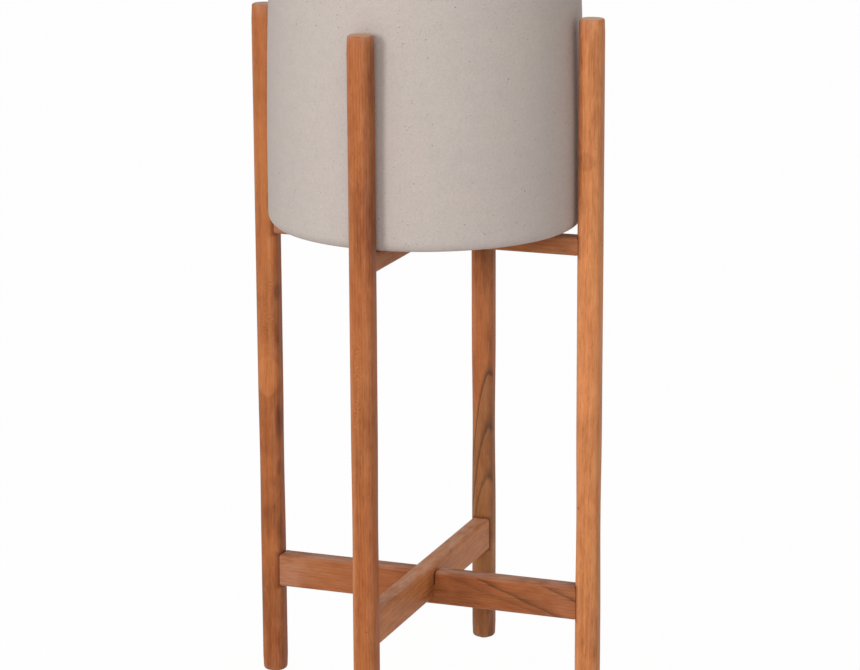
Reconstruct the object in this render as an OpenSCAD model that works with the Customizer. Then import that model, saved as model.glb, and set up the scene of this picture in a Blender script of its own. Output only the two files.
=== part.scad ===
// Planter with stand: four tall legs joined by two pairs of crossed rails. A round pot stands
// between the legs, on the higher rail of the upper pair.
// The origin is at floor level in the middle of the four feet. The front leg is at -Y.

/* [Pot] */
// Widest outside diameter of the pot
pot_d = 366; // [300:2:440]
// Height of the pot from its underside to its rim
pot_h = 310; // [220:5:400]
// Thickness of the pot's wall
pot_wall = 10; // [8:1:18]
// Thickness of the pot's floor
pot_floor = 16; // [10:1:24]
// Radius of the rounded edge round the underside
pot_base_r = 14; // [8:1:26]
// Radius of the corner between the inside wall and the floor
pot_inner_r = 14; // [6:1:24]
// Rounding of the two edges of the rim
pot_rim_r = 3; // [1:0.5:3.5]
// How far the wall curves in at the rim, measured on the radius
pot_draw_in = 6; // [0:0.4:10]
// Height above the underside at which the wall starts to curve in
pot_belly_h = 50; // [35:5:120]
// Diameter of the drain hole
drain_d = 22; // [14:1:30]
// How much wider the seat of the plug's flange is than the drain hole
drain_seat_extra = 10; // [6:1:16]
// Depth of that seat in the floor
drain_seat_depth = 3; // [2:0.5:5]
// How much the plug's stem narrows towards its lower end, measured on the radius
plug_taper = 0.8; // [0:0.2:2]

/* [Legs] */
// Height of the stand from the floor to the tops of the legs
stand_h = 820; // [680:10:900]
// Width of a leg across its flat sides
leg_w = 28; // [24:1:34]
// Radius of a leg's four long edges
leg_edge_r = 10; // [5:0.5:11]
// Rounding of the ends of a leg
leg_end_r = 2; // [1:0.5:4]
// Depth of the slight waist in each side of a leg
leg_waist = 0.5; // [0:0.1:1]
// Height of the narrowest place of the waist
waist_z = 260; // [230:10:300]
// Length of the waist above and below that place
waist_reach = 100; // [60:5:100]
// Free space between the pot and each leg
pot_gap = 3; // [2:0.5:8]

/* [Rails] */
// Thickness of every rail, seen from above
rail_t = 22; // [18:1:24]
// Height of the underside of the pot above the floor, where the front-back upper rail ends
seat_z = 575; // [450:1:600]
// Height of an upper rail's section
upper_rail_h = 22; // [20:1:34]
// How much higher the front-back upper rail lies than the left-right one
upper_rail_step = 5; // [0:0.5:8]
// Height of the underside of the left-right lower rail above the floor
lower_rail_z = 111; // [60:1:118]
// Height of a lower rail's section
lower_rail_h = 41; // [30:1:42]
// How much higher the front-back lower rail lies than the left-right one
lower_rail_step = 7.5; // [0:0.5:10]
// Rounding of the long edges of the rails
rail_edge_r = 4; // [1:0.5:5]
// Rounding of a rail's end where it meets a leg
shoulder_r = 1; // [1:0.5:3]
// Rounding of the mouth of each half-lap notch
lap_mouth_r = 2; // [1:0.5:3]

/* [Dowels and screws] */
// Diameter of the dowels in the upper joints
upper_dowel_d = 6; // [5:0.5:7]
// Distance from the upper dowels to the rail's top and underside
upper_dowel_edge = 6; // [5:0.5:6]
// Diameter of the dowels in the lower joints
lower_dowel_d = 8; // [6:0.5:9]
// Distance from the lower dowels to the rail's top and underside
lower_dowel_edge = 10; // [8:0.5:10]
// Depth of a dowel in the leg
dowel_in_leg = 15; // [10:1:18]
// Depth of a dowel in the rail
dowel_in_rail = 17; // [12:1:30]
// Diameter of the screw that holds a half-lap together
screw_d = 4; // [3:0.5:5]
// Diameter of that screw's countersunk head
screw_head_d = 8; // [7:0.5:9]
// How far the head lies below the rail's underside
screw_sink = 0.5; // [0.2:0.1:1]
// Wood left over the tip of the screw
screw_cover = 4; // [3:0.5:6]
// Length of the screw's point
screw_point = 3; // [2:0.5:4]

/* [Feet] */
// Diameter of the glide under a leg
glide_d = 15; // [12:1:18]
// Thickness of the glide, which carries the stand
glide_h = 2; // [2:0.5:5]
// Bevel round the glide's underside
glide_bevel = 0.8; // [0.4:0.1:1]
// Diameter of the nail in the glide
nail_d = 2; // [1.5:0.1:3]
// Length of the nail's shank in the leg
nail_l = 14; // [8:1:20]
// Diameter of the nail's flat head
nail_head_d = 7; // [5:0.5:9]
// Thickness of the nail's flat head
nail_head_t = 1; // [0.6:0.1:1.2]

/* [Clearances] */
// Gap between a rail's shaped end and the leg
joint_gap = 0.1; // [0.05:0.05:0.3]
// Gap on each side of a half-lap
lap_gap = 0.25; // [0.1:0.05:0.5]
// Radial gap round a dowel, a screw or a nail
pin_gap = 0.05; // [0.02:0.01:0.1]
// Free space past the end of a dowel, a screw or a nail
end_gap = 0.8; // [0.3:0.1:0.9]
// Radial gap round the drain plug
plug_gap = 0.1; // [0.05:0.05:0.3]

/* [Hidden] */

$fn = 64;
pot_fn = 144;

// Turn of each leg about the vertical, from the leg at +X
turn_front = 270;
turn_right = 0;
turn_back = 90;
turn_left = 180;
turns = [turn_front, turn_right, turn_back, turn_left];

function is_front_back(turn) = turn == turn_front || turn == turn_back;

// Colours as the photograph shows them
leg_colour = [0.70, 0.44, 0.28];
rail_colour = [0.60, 0.38, 0.24];
dowel_colour = [0.86, 0.74, 0.56];
steel_colour = [0.72, 0.71, 0.68];
glide_colour = [0.36, 0.27, 0.20];
pot_colour = [0.76, 0.71, 0.68];
plug_colour = [0.13, 0.13, 0.13];

pot_r = pot_d / 2;
drain_r = drain_d / 2;
drain_seat_r = (drain_d + drain_seat_extra) / 2;
leg_half = leg_w / 2;
leg_circle_r = pot_r + pot_gap + leg_half;
leg_inner_x = leg_circle_r - leg_half;
// Underside and top of each rail. The front-back one of a pair lies over the left-right one.
upper_over = [seat_z - upper_rail_h, seat_z];
upper_under = [upper_over[0] - upper_rail_step, upper_over[1] - upper_rail_step];
lower_under = [lower_rail_z, lower_rail_z + lower_rail_h];
lower_over = [lower_under[0] + lower_rail_step, lower_under[1] + lower_rail_step];
// Height at which the two rails of a pair meet in their half-lap
upper_lap_z = (upper_over[0] + upper_under[1]) / 2;
lower_lap_z = (lower_over[0] + lower_under[1]) / 2;
// Underside and top of the wood that the screw of a half-lap goes through
upper_lap = [upper_under[0], upper_over[1]];
lower_lap = [lower_under[0], lower_over[1]];
screw_head_h = (screw_head_d - screw_d) / 2;
screw_tip_d = screw_d / 4;
screw_slot_w = screw_d / 4;
// Straight pieces that each curve is drawn with: a rounded edge, each half of a leg's waist,
// and the pot's curved wall, rounded underside and inside corner
edge_steps = 6;
waist_steps = 6;
wall_steps = 10;
base_steps = 10;
inner_steps = 8;
// More than any cut needs, so that it passes right through
past = 1;

// Points of a round stretch with its centre, its radius and its two angles
function arc(x, y, r, from, to, steps = edge_steps) =
  [for (i = [0:steps]) let (a = from + (to - from) * i / steps) [x + r * cos(a), y + r * sin(a)]];

// A list of points in the opposite order, on the other side of the axis
function mirrored(points) =
  [for (i = [len(points) - 1:-1:0]) [-points[i][0], points[i][1]]];

module rounded_rectangle(x, y, r) {
  square([x - 2 * r, y], center = true);
  square([x, y - 2 * r], center = true);
  for (i = [-1, 1], j = [-1, 1]) {
    translate([i * (x / 2 - r), j * (y / 2 - r)]) circle(r);
  }
}

// The waist fades in and out along the leg as one cosine wave
function waist_at(z) =
  abs(z - waist_z) < waist_reach ? leg_waist * (1 + cos(180 * (z - waist_z) / waist_reach)) / 2 : 0;

// Right-hand edge of a leg seen from the side, from the foot to the top
function leg_side_edge(half) = concat(
  arc(half - leg_end_r, glide_h + leg_end_r, leg_end_r, -90, 0),
  [for (i = [-waist_steps:waist_steps])
    let (z = waist_z + waist_reach * i / waist_steps) [half - waist_at(z), z]],
  arc(half - leg_end_r, stand_h - leg_end_r, leg_end_r, 0, 90)
);

module leg_side_cut(half) {
  rotate([90, 0, 0]) {
    linear_extrude(4 * half, center = true) {
      polygon(concat(leg_side_edge(half), mirrored(leg_side_edge(half))));
    }
  }
}

// Leg before any hole is drilled, standing on the axis. With grow it is thicker all round,
// which is the shape that the rails' ends are cut to.
module leg_blank(grow = 0) {
  half = leg_half + grow;
  corner = sqrt(2) * (leg_half - leg_edge_r) + leg_edge_r + grow;
  intersection() {
    translate([0, 0, glide_h]) {
      linear_extrude(stand_h - glide_h) rounded_rectangle(2 * half, 2 * half, leg_edge_r + grow);
    }
    leg_side_cut(half);
    rotate([0, 0, 90]) leg_side_cut(half);
    rotate_extrude() {
      polygon(concat(
        [[0, glide_h]],
        arc(corner - leg_end_r, glide_h + leg_end_r, leg_end_r, -90, 0),
        arc(corner - leg_end_r, stand_h - leg_end_r, leg_end_r, 0, 90),
        [[0, stand_h]]
      ));
    }
  }
}

// One dowel, or its hole when radial and end gaps are given, in the joint at +X
module dowel(d, z, radial = 0, ends = 0) {
  translate([leg_inner_x - dowel_in_rail - ends, 0, z]) rotate([0, 90, 0]) {
    cylinder(h = dowel_in_rail + dowel_in_leg + 2 * ends, d = d + 2 * radial);
  }
}

// The two dowels of one joint, one over the other. A span is a rail's underside and top.
module upper_dowel_pair(span, radial = 0, ends = 0) {
  for (z = [span[0] + upper_dowel_edge, span[1] - upper_dowel_edge]) {
    dowel(upper_dowel_d, z, radial, ends);
  }
}

module lower_dowel_pair(span, radial = 0, ends = 0) {
  for (z = [span[0] + lower_dowel_edge, span[1] - lower_dowel_edge]) {
    dowel(lower_dowel_d, z, radial, ends);
  }
}

module upper_dowels() {
  color(dowel_colour) for (turn = turns) {
    rotate([0, 0, turn]) upper_dowel_pair(is_front_back(turn) ? upper_over : upper_under);
  }
}

module lower_dowels() {
  color(dowel_colour) for (turn = turns) {
    rotate([0, 0, turn]) lower_dowel_pair(is_front_back(turn) ? lower_over : lower_under);
  }
}

module leg(turn) {
  upper = is_front_back(turn) ? upper_over : upper_under;
  lower = is_front_back(turn) ? lower_over : lower_under;
  color(leg_colour) rotate([0, 0, turn]) difference() {
    translate([leg_circle_r, 0, 0]) leg_blank();
    upper_dowel_pair(upper, pin_gap, end_gap);
    lower_dowel_pair(lower, pin_gap, end_gap);
    translate([leg_circle_r, 0, glide_h - past]) {
      cylinder(h = nail_l + end_gap + past, d = nail_d + 2 * pin_gap);
    }
  }
}

// Distance from the stand's axis to a leg's inner surface, which curves away at the side
function leg_surface_x(y) =
  let (round_y = max(y - leg_half + leg_edge_r, 0))
  leg_inner_x + leg_edge_r - sqrt(pow(leg_edge_r, 2) - pow(round_y, 2));

// Rail along X with rounded long edges and with its end edges eased all round. Its ends
// reach into the legs, whose shape is cut out of them later.
module rail_blank(h) {
  side_x = leg_surface_x(rail_t / 2);
  intersection() {
    rotate([90, 0, 90]) {
      linear_extrude(2 * leg_circle_r, center = true) rounded_rectangle(rail_t, h, rail_edge_r);
    }
    linear_extrude(h, center = true) eased_outline(side_x, rail_t / 2);
    rotate([90, 0, 0]) linear_extrude(rail_t, center = true) eased_outline(leg_inner_x, h / 2);
  }
}

// Outline of a rail whose four corners are rounded where it meets the legs, with a
// narrower neck that runs on into them
module eased_outline(x, half) {
  rounded_rectangle(2 * x, 2 * half, shoulder_r);
  square([2 * leg_circle_r, 2 * (half - shoulder_r)], center = true);
}

// Half-lap notch with a rounded mouth. It opens upwards from the origin to a rail's surface.
module lap_notch(depth) {
  width = rail_t + 2 * lap_gap;
  rotate([90, 0, 0]) linear_extrude(rail_t + 2 * past, center = true) {
    translate([-width / 2, 0]) square([width, depth + past]);
    for (side = [-1, 1]) {
      difference() {
        translate([side * width / 2, depth]) square(2 * lap_mouth_r, center = true);
        translate([side * (width / 2 + lap_mouth_r), depth - lap_mouth_r]) circle(lap_mouth_r);
      }
    }
  }
}

// Finished rail along X with the given underside and top. The over rail is notched from below.
module rail(span, lap_z, over) {
  difference() {
    translate([0, 0, (span[0] + span[1]) / 2]) rail_blank(span[1] - span[0]);
    translate([0, 0, lap_z]) {
      rotate([over ? 180 : 0, 0, 0]) lap_notch(over ? lap_z - span[0] : span[1] - lap_z);
    }
    for (turn = [0, 180]) {
      rotate([0, 0, turn]) {
        translate([leg_circle_r, 0, 0]) leg_blank(joint_gap);
        children();
      }
    }
  }
}

module upper_rail(turn) {
  over = is_front_back(turn);
  span = over ? upper_over : upper_under;
  color(rail_colour) difference() {
    rotate([0, 0, turn]) rail(span, upper_lap_z, over) upper_dowel_pair(span, pin_gap, end_gap);
    lap_screw_hole(upper_lap);
  }
}

module lower_rail(turn) {
  over = is_front_back(turn);
  span = over ? lower_over : lower_under;
  color(rail_colour) difference() {
    rotate([0, 0, turn]) rail(span, lower_lap_z, over) lower_dowel_pair(span, pin_gap, end_gap);
    lap_screw_hole(lower_lap);
  }
}

// Length of the screw in a half-lap, from its head to its tip
function screw_length(lap) = lap[1] - lap[0] - screw_sink - screw_cover;

// Countersunk wood screw that goes up through the crossing of two rails
module lap_screw(lap) {
  length = screw_length(lap);
  color(steel_colour) translate([0, 0, lap[0] + screw_sink]) difference() {
    union() {
      cylinder(h = screw_head_h, d1 = screw_head_d, d2 = screw_d);
      cylinder(h = length - screw_point, d = screw_d);
      translate([0, 0, length - screw_point]) {
        cylinder(h = screw_point, d1 = screw_d, d2 = screw_tip_d);
      }
    }
    for (turn = [0, 90]) {
      rotate([0, 0, turn]) cube([screw_d, screw_slot_w, screw_head_h], center = true);
    }
  }
}

module lap_screw_hole(lap) {
  mouth_d = screw_head_d + 2 * pin_gap;
  translate([0, 0, lap[0]]) {
    translate([0, 0, -past]) cylinder(h = past + screw_sink, d = mouth_d);
    translate([0, 0, screw_sink]) {
      cylinder(h = screw_head_h, d1 = mouth_d, d2 = screw_d + 2 * pin_gap);
      cylinder(h = screw_length(lap) + end_gap, d = screw_d + 2 * pin_gap);
    }
  }
}

// Round glide with a pocket in its top for the head of its nail
module glide(turn) {
  color(glide_colour) rotate([0, 0, turn]) translate([leg_circle_r, 0, 0]) difference() {
    rotate_extrude() {
      polygon([
        [0, 0],
        [glide_d / 2 - glide_bevel, 0],
        [glide_d / 2, glide_bevel],
        [glide_d / 2, glide_h],
        [0, glide_h]
      ]);
    }
    translate([0, 0, glide_h - nail_head_t]) {
      cylinder(h = nail_head_t + past, d = nail_head_d + 2 * pin_gap);
    }
  }
}

module glide_nail(turn) {
  rotate([0, 0, turn]) translate([leg_circle_r, 0, glide_h - nail_head_t]) {
    cylinder(h = nail_head_t, d = nail_head_d);
    cylinder(h = nail_head_t + nail_l, d = nail_d);
  }
}

module glide_nails() {
  color(steel_colour) for (turn = turns) {
    glide_nail(turn);
  }
}

// Outside radius of the pot at a height above its underside. The wall stands upright up to
// the belly and then curves in more and more.
function pot_radius(z) =
  pot_r - pot_draw_in * pow(max(z - pot_belly_h, 0) / (pot_h - pot_belly_h), 2);

// Points up the curved wall, at a distance inside the outer face
function pot_wall_points(inset, top) =
  [for (i = [0:wall_steps])
    let (z = pot_belly_h + (top - pot_belly_h) * i / wall_steps) [pot_radius(z) - inset, z]];

module pot() {
  rim_z = pot_h - pot_rim_r;
  rim_out = pot_radius(rim_z);
  seat_level = pot_floor - drain_seat_depth;
  outside = concat(
    [[drain_r, 0]],
    arc(pot_r - pot_base_r, pot_base_r, pot_base_r, -90, 0, base_steps),
    pot_wall_points(0, rim_z),
    arc(rim_out - pot_rim_r, rim_z, pot_rim_r, 0, 90)
  );
  inside = concat(
    [[drain_r, seat_level], [drain_seat_r, seat_level], [drain_seat_r, pot_floor]],
    arc(pot_r - pot_wall - pot_inner_r, pot_floor + pot_inner_r, pot_inner_r, -90, 0, inner_steps),
    pot_wall_points(pot_wall, rim_z),
    arc(rim_out - pot_wall + pot_rim_r, rim_z, pot_rim_r, 180, 90)
  );
  color(pot_colour) translate([0, 0, seat_z]) rotate_extrude($fn = pot_fn) {
    polygon(concat(outside, [for (i = [len(inside) - 1:-1:0]) inside[i]]));
  }
}

// Rubber stopper: a flange flush with the pot's floor over a tapered stem
module drain_plug() {
  stem_r = drain_r - plug_gap;
  flange_r = drain_seat_r - plug_gap;
  seat_level = pot_floor - drain_seat_depth;
  color(plug_colour) translate([0, 0, seat_z]) rotate_extrude() {
    polygon([
      [0, end_gap],
      [stem_r - plug_taper, end_gap],
      [stem_r, seat_level],
      [flange_r, seat_level],
      [flange_r, pot_floor],
      [0, pot_floor]
    ]);
  }
}

leg(turn_front);  // leg_front
leg(turn_right);  // leg_right
leg(turn_back);  // leg_back
leg(turn_left);  // leg_left
upper_rail(turn_back);  // upper_rail_front_back
upper_rail(turn_right);  // upper_rail_left_right
lower_rail(turn_back);  // lower_rail_front_back
lower_rail(turn_right);  // lower_rail_left_right
upper_dowels();
lower_dowels();
lap_screw(upper_lap);  // upper_lap_screw
lap_screw(lower_lap);  // lower_lap_screw
glide(turn_front);  // glide_front
glide(turn_right);  // glide_right
glide(turn_back);  // glide_back
glide(turn_left);  // glide_left
glide_nails();
pot();
drain_plug();
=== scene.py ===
import functools
import math

import bpy
import numpy as np
from mathutils import Matrix, Vector, noise


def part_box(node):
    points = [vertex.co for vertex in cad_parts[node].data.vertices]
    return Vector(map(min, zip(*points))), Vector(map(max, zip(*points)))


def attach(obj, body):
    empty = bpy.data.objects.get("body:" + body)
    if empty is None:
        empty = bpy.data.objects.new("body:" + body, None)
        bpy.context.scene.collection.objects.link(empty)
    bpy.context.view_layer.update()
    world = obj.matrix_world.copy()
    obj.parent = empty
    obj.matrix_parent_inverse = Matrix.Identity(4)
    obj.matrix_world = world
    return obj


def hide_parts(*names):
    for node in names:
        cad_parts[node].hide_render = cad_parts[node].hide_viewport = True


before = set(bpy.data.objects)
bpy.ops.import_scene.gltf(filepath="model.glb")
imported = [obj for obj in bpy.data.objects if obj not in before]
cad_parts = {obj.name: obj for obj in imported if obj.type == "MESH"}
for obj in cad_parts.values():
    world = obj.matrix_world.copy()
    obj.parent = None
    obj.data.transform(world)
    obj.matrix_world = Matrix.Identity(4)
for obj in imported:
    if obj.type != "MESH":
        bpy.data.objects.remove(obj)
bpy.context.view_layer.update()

MM = 0.001
# Places that are nearer to each other than this are the same
SAME = 1e-9

# Sizes of the frame that the pieces here share with it
LEG_HALF = 14 * MM
LEG_EDGE = 10 * MM
LEG_CIRCLE = 200 * MM
LEG_INNER = LEG_CIRCLE - LEG_HALF
RAIL_HALF = 11 * MM
RAIL_EDGE = 4 * MM
SHOULDER = 1 * MM
JOINT_GAP = 0.1 * MM
# The screw hole in the underside of each crossing: radius and depth of its mouth, then of its cone
SCREW_MOUTH, SCREW_SINK = 4.1 * MM, 0.5 * MM
SCREW_NECK, SCREW_CONE = 2.1 * MM, 2.5 * MM

# Forms of the scene alone. How a leg's ends are rounded, and how much larger its corner radius
# grows over the last stretch before each end:
FOOT_ROUND, TOP_ROUND, FRONT_TOP_ROUND = 3.2 * MM, 2.2 * MM, 3.0 * MM
END_EDGE_MORE, END_EDGE_REACH = 3 * MM, 20 * MM
# A notch's half width and the rounding of its mouth, in the rails that lie over and under:
OVER_NOTCH, UNDER_NOTCH = (11.3 * MM, 0.8 * MM), (12.8 * MM, 2 * MM)
# The greatest depth of hand-made unevenness:
LEG_UNEVEN, RAIL_UNEVEN, POT_UNEVEN = 0.25 * MM, 0.18 * MM, 0.5 * MM


# Node graphs

class Graph:
    """A short way to write the nodes of one material or world."""

    def __init__(self, owner):
        self.owner = owner
        owner.use_nodes = True
        self.tree = owner.node_tree
        self.tree.nodes.clear()

    @functools.cached_property
    def place(self):
        """The object's own coordinates."""
        return self.add("TexCoord").outputs["Object"]

    def add(self, kind, **settings):
        made = self.tree.nodes.new("ShaderNode" + kind)
        for key, value in settings.items():
            setattr(made, key, value)
        return made

    def put(self, socket, value):
        """Links a socket to another one, or gives it a number, a vector or a colour."""
        if isinstance(value, bpy.types.NodeSocket):
            self.tree.links.new(value, socket)
        else:
            socket.default_value = (*value, 1) if socket.type == "RGBA" else value

    def math(self, operation, a, b=0.0, c=0.0):
        made = self.add("Math", operation=operation)
        for socket, value in zip(made.inputs, (a, b, c)):
            self.put(socket, value)
        return made.outputs[0]

    def sway(self, value, part, weight):
        """value, moved by up to half of weight either way, as part goes from 0 to 1."""
        return self.math("MULTIPLY_ADD", self.math("SUBTRACT", part, 0.5), weight, value)

    def total(self, *parts):
        """The sum of parts, which are pairs of value and weight."""
        found = 0.0
        for value, weight in parts:
            found = self.math("MULTIPLY_ADD", value, weight, found)
        return found

    def vector(self, operation, a, b, output="Vector"):
        made = self.add("VectorMath", operation=operation)
        self.put(made.inputs[0], a)
        self.put(made.inputs[1], b)
        return made.outputs[output]

    def dot(self, a, b):
        return self.vector("DOT_PRODUCT", a, b, "Value")

    def split(self, vector):
        made = self.add("SeparateXYZ")
        self.put(made.inputs[0], vector)
        return made.outputs

    def spread(self, vector, waves, seed):
        """Coordinates that count waves, so many a metre along each of the three axes."""
        made = self.add("Mapping")
        self.put(made.inputs["Vector"], vector)
        made.inputs["Location"].default_value = seed
        made.inputs["Scale"].default_value = waves
        return made.outputs[0]

    def noise(self, vector, waves, detail, roughness, seed=(0, 0, 0), output="Fac"):
        made = self.add("TexNoise")
        self.put(made.inputs["Vector"], self.spread(vector, waves, seed))
        made.inputs["Scale"].default_value = 1.0
        made.inputs["Detail"].default_value = detail
        made.inputs["Roughness"].default_value = roughness
        return made.outputs[output]

    def cells(self, vector, waves, seed):
        """Distance to the nearest of scattered points, in waves, and its three random numbers."""
        made = self.add("TexVoronoi")
        self.put(made.inputs["Vector"], self.spread(vector, waves, seed))
        made.inputs["Scale"].default_value = 1.0
        return made.outputs["Distance"], self.split(made.outputs["Color"])

    def remap(self, value, low, high, to_low=0.0, to_high=1.0, smooth=False):
        made = self.add("MapRange", clamp=True)
        if smooth:
            made.interpolation_type = "SMOOTHSTEP"
        for socket, number in zip(made.inputs, (value, low, high, to_low, to_high)):
            self.put(socket, number)
        return made.outputs[0]

    def ramp(self, value, stops):
        made = self.add("ValToRGB")
        self.put(made.inputs[0], value)
        elements = made.color_ramp.elements
        while len(elements) < len(stops):
            elements.new(0.5)
        for element, (at, colour) in zip(elements, stops):
            element.position = at
            element.color = (*colour, 1)
        return made.outputs["Color"]

    def mix(self, share, a, b, blend="MIX"):
        made = self.add("Mix", data_type="RGBA", blend_type=blend)
        # Sockets 6 and 7 are the node's two colours
        for index, value in ((0, share), (6, a), (7, b)):
            self.put(made.inputs[index], value)
        return made.outputs[2]

    def times(self, colour, factor):
        return self.mix(1.0, colour, factor, "MULTIPLY")

    def stain(self, colour, share, factor):
        """A colour that is multiplied by another one in a share from 0 to 1."""
        return self.mix(share, colour, self.times(colour, factor))

    def attribute(self, name):
        return self.add("Attribute", attribute_name=name).outputs["Fac"]

    def bump(self, height, distance):
        made = self.add("Bump")
        made.inputs["Strength"].default_value = 1.0
        made.inputs["Distance"].default_value = distance
        self.put(made.inputs["Height"], height)
        return made.outputs[0]

    def choose(self, share, a, b):
        """Shader a, or b in a share from 0 to 1."""
        made = self.add("MixShader")
        for socket, value in zip(made.inputs, (share, a, b)):
            self.put(socket, value)
        return made

    def output(self, shader, kind="OutputMaterial"):
        """Ends the graph."""
        self.put(self.add(kind).inputs[0], shader.outputs[0])
        return self.owner

    def finish(self, colour, roughness, normal, **settings):
        """Ends the graph in one Principled shader, whose other values are settings."""
        shader = self.add("BsdfPrincipled")
        self.put(shader.inputs["Base Color"], colour)
        self.put(shader.inputs["Roughness"], roughness)
        self.put(shader.inputs["Normal"], normal)
        for key, value in settings.items():
            shader.inputs[key.replace("_", " ")].default_value = value
        return self.output(shader)


def material_graph(name):
    return Graph(bpy.data.materials.new(name))


# Wood

# Layers of noise: waves a metre across and along the grain, detail, roughness
LAYERS = {
    "broad": (20, 8, 2, 0.5),
    "band": (170, 7, 3, 0.55),
    "line": (780, 42, 3, 0.6),
    "fibre": (1600, 80, 2, 0.6),
    "mottle": (120, 42, 2, 0.5),
    "hue": (60, 6, 2, 0.5),
    "ragged": (260, 50, 3, 0.6),
    "ripple_bend": (90, 60, 2, 0.5),
    "ripple_gaps": (300, 45, 2, 0.5),
}
# How much some of them change the wood's shade, which is 0.5 where it is the mean colour
WEIGHTS = {"broad": 0.36, "band": 0.28, "line": 0.48, "fibre": 0.38, "mottle": 0.34}
# What the colour is multiplied by, from the darkest shade to the palest
SHADES = [
    (0.00, (0.34, 0.28, 0.27)),
    (0.25, (0.66, 0.60, 0.58)),
    (0.50, (1.00, 1.00, 1.00)),
    (0.75, (1.25, 1.33, 1.42)),
    (1.00, (1.50, 1.75, 2.05)),
]
# What else it is multiplied by: in yellower and in redder wood, in a dark growth line, in old
# heartwood, in pores, and in painted shade with some dirt round joints
YELLOWER, REDDER = (0.995, 1.02, 0.98), (1.02, 0.965, 0.95)
LINE = (0.24, 0.28, 0.34)
HEART = (0.77, 0.935, 1.06)
PORE = (0.45, 0.38, 0.34)
SHADE_AND_DIRT = (0.30, 0.20, 0.16)
# Colours of their own: end grain where a growth ring is pale, where it is dark and in its pores,
# and what rubbed places, and the painted sheen on the rails' tops and edges, turn to
END_PALE, END_DARK, END_PORE = (0.72, 0.46, 0.31), (0.48, 0.26, 0.150), (0.22, 0.110, 0.060)
RUBBED_AND_SHEEN = (0.74, 0.53, 0.43)

# The width of a growth ring, and the share of it at which its dark edge is darkest
RING_WIDTH, RING_DARKEST = 3.4 * MM, 0.86
# Ripple along the grain: radians a metre, and how many radians noise moves it
RIPPLE_TURN, RIPPLE_BEND = 1700.0, 40.0
# Waves a metre of the cells that scatter fine pores and wider flecks
PORE_WAVES, FLECK_WAVES = (1150, 1150, 105), (430, 430, 110)
# Painted shade with some dirt round a joint: its share in the colour, how far it reaches, and
# between which distances from a leg's middle it sets in
SHADE_AND_DIRT_SHARE, SHADE_AND_DIRT_REACH, SHADE_AND_DIRT_FROM, SHADE_AND_DIRT_TO = 0.62, 4 * MM, 5 * MM, 10 * MM


def layer(g, grain, kind, shift):
    across, along, detail, roughness = LAYERS[kind]
    return g.noise(grain, (across, across, along), detail, roughness, shift)


def bent_grain(g, shift):
    """The coordinates that marks in the wood follow, with small waves in them, and those that the
    grain follows, which wander slowly as well."""
    def drift(waves, detail, reach):
        moved = g.noise(g.place, waves, detail, 0.5, shift, "Color")
        return g.vector("MULTIPLY", g.vector("SUBTRACT", moved, (0.5, 0.5, 0.5)), reach)

    drawn = g.vector("ADD", g.place, drift((70, 70, 12), 1, (0.0018, 0.0018, 0.006)))
    return drawn, g.vector("ADD", drawn, drift((9, 9, 2.4), 2, (0.016, 0.016, 0.0)))


def growth_rings(g, grain, pith, tilt):
    """How far out in its growth ring a place is, and how dark the ring is there, both 0 to 1."""
    x, y, z = g.split(grain)
    squares = [g.math("POWER", g.math("ADD", g.math("MULTIPLY_ADD", z, lean, side), off), 2.0)
               for side, lean, off in zip((x, y), tilt, pith)]
    radius = g.math("SQRT", g.math("ADD", *squares))
    phase = g.math("FRACT", g.math("DIVIDE", radius, RING_WIDTH))
    rise = g.remap(phase, 0.0, RING_DARKEST)
    fall = g.remap(phase, RING_DARKEST, 1.0, 1.0, 0.0, smooth=True)
    return phase, g.math("MULTIPLY", g.math("POWER", rise, 2.2), fall)


def add_ripple(g, value, grain, shift, low, high, left, right, amount):
    """Adds short pale marks across the grain, between two heights and two places along X."""
    x, _, z = g.split(grain)
    turned = g.math("MULTIPLY_ADD", layer(g, grain, "ripple_bend", shift), RIPPLE_BEND,
                    g.math("MULTIPLY", z, RIPPLE_TURN))
    crest = g.math("MULTIPLY", g.remap(g.math("SINE", turned), -0.2, 0.9, -0.2 * amount, amount),
                   g.remap(layer(g, grain, "ripple_gaps", shift), 0.40, 0.60, 0.2, 1.0))
    inside = 1.0
    for place, start, stop, fade in ((z, low, high, 30 * MM), (x, left, right, 3 * MM)):
        inside = g.math("MULTIPLY", inside, g.remap(place, start, start + fade))
        inside = g.math("MULTIPLY", inside, g.remap(place, stop - fade, stop, 1.0, 0.0))
    return g.math("MULTIPLY_ADD", crest, inside, value)


def growth_lines(g, colour, drawn, ragged, lines, heart, bare):
    """Draws single dark growth lines. Each is a slope (weights of x, y and z), a bend (direction,
    place, strength) or None, the value that the two add up to on the line, how far it reaches to
    its sharp and its soft side, and its darkness. The wood on the sharp side of the first line
    is old heartwood, as much as heart says. bare is a direction and two places on it, between
    which the lines fade out."""
    for k, (slope, bend, at, sharp, soft, dark) in enumerate(lines):
        field = g.math("MULTIPLY_ADD", g.math("SUBTRACT", ragged, 0.5), 0.3 * (sharp + soft),
                       g.dot(drawn, slope))
        if bend:
            direction, place, strength = bend
            along = g.math("SUBTRACT", g.dot(drawn, direction), place)
            field = g.math("MULTIPLY_ADD", g.math("POWER", along, 2.0), strength, field)
        if heart and k == 0:
            colour = g.stain(colour, g.remap(field, at - sharp, at, heart, 0.0), HEART)
        direction, start, stop = bare
        fading = g.remap(g.dot(g.place, direction), start, stop, 1.0, 0.0)
        rising = g.math("MULTIPLY", g.remap(field, at - sharp, at, 0.0, dark, smooth=True), fading)
        falling = g.math("POWER", g.remap(field, at, at + soft, 1.0, 0.0), 2.0)
        colour = g.stain(colour, g.math("MULTIPLY", rising, falling), LINE)
    return colour


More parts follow.
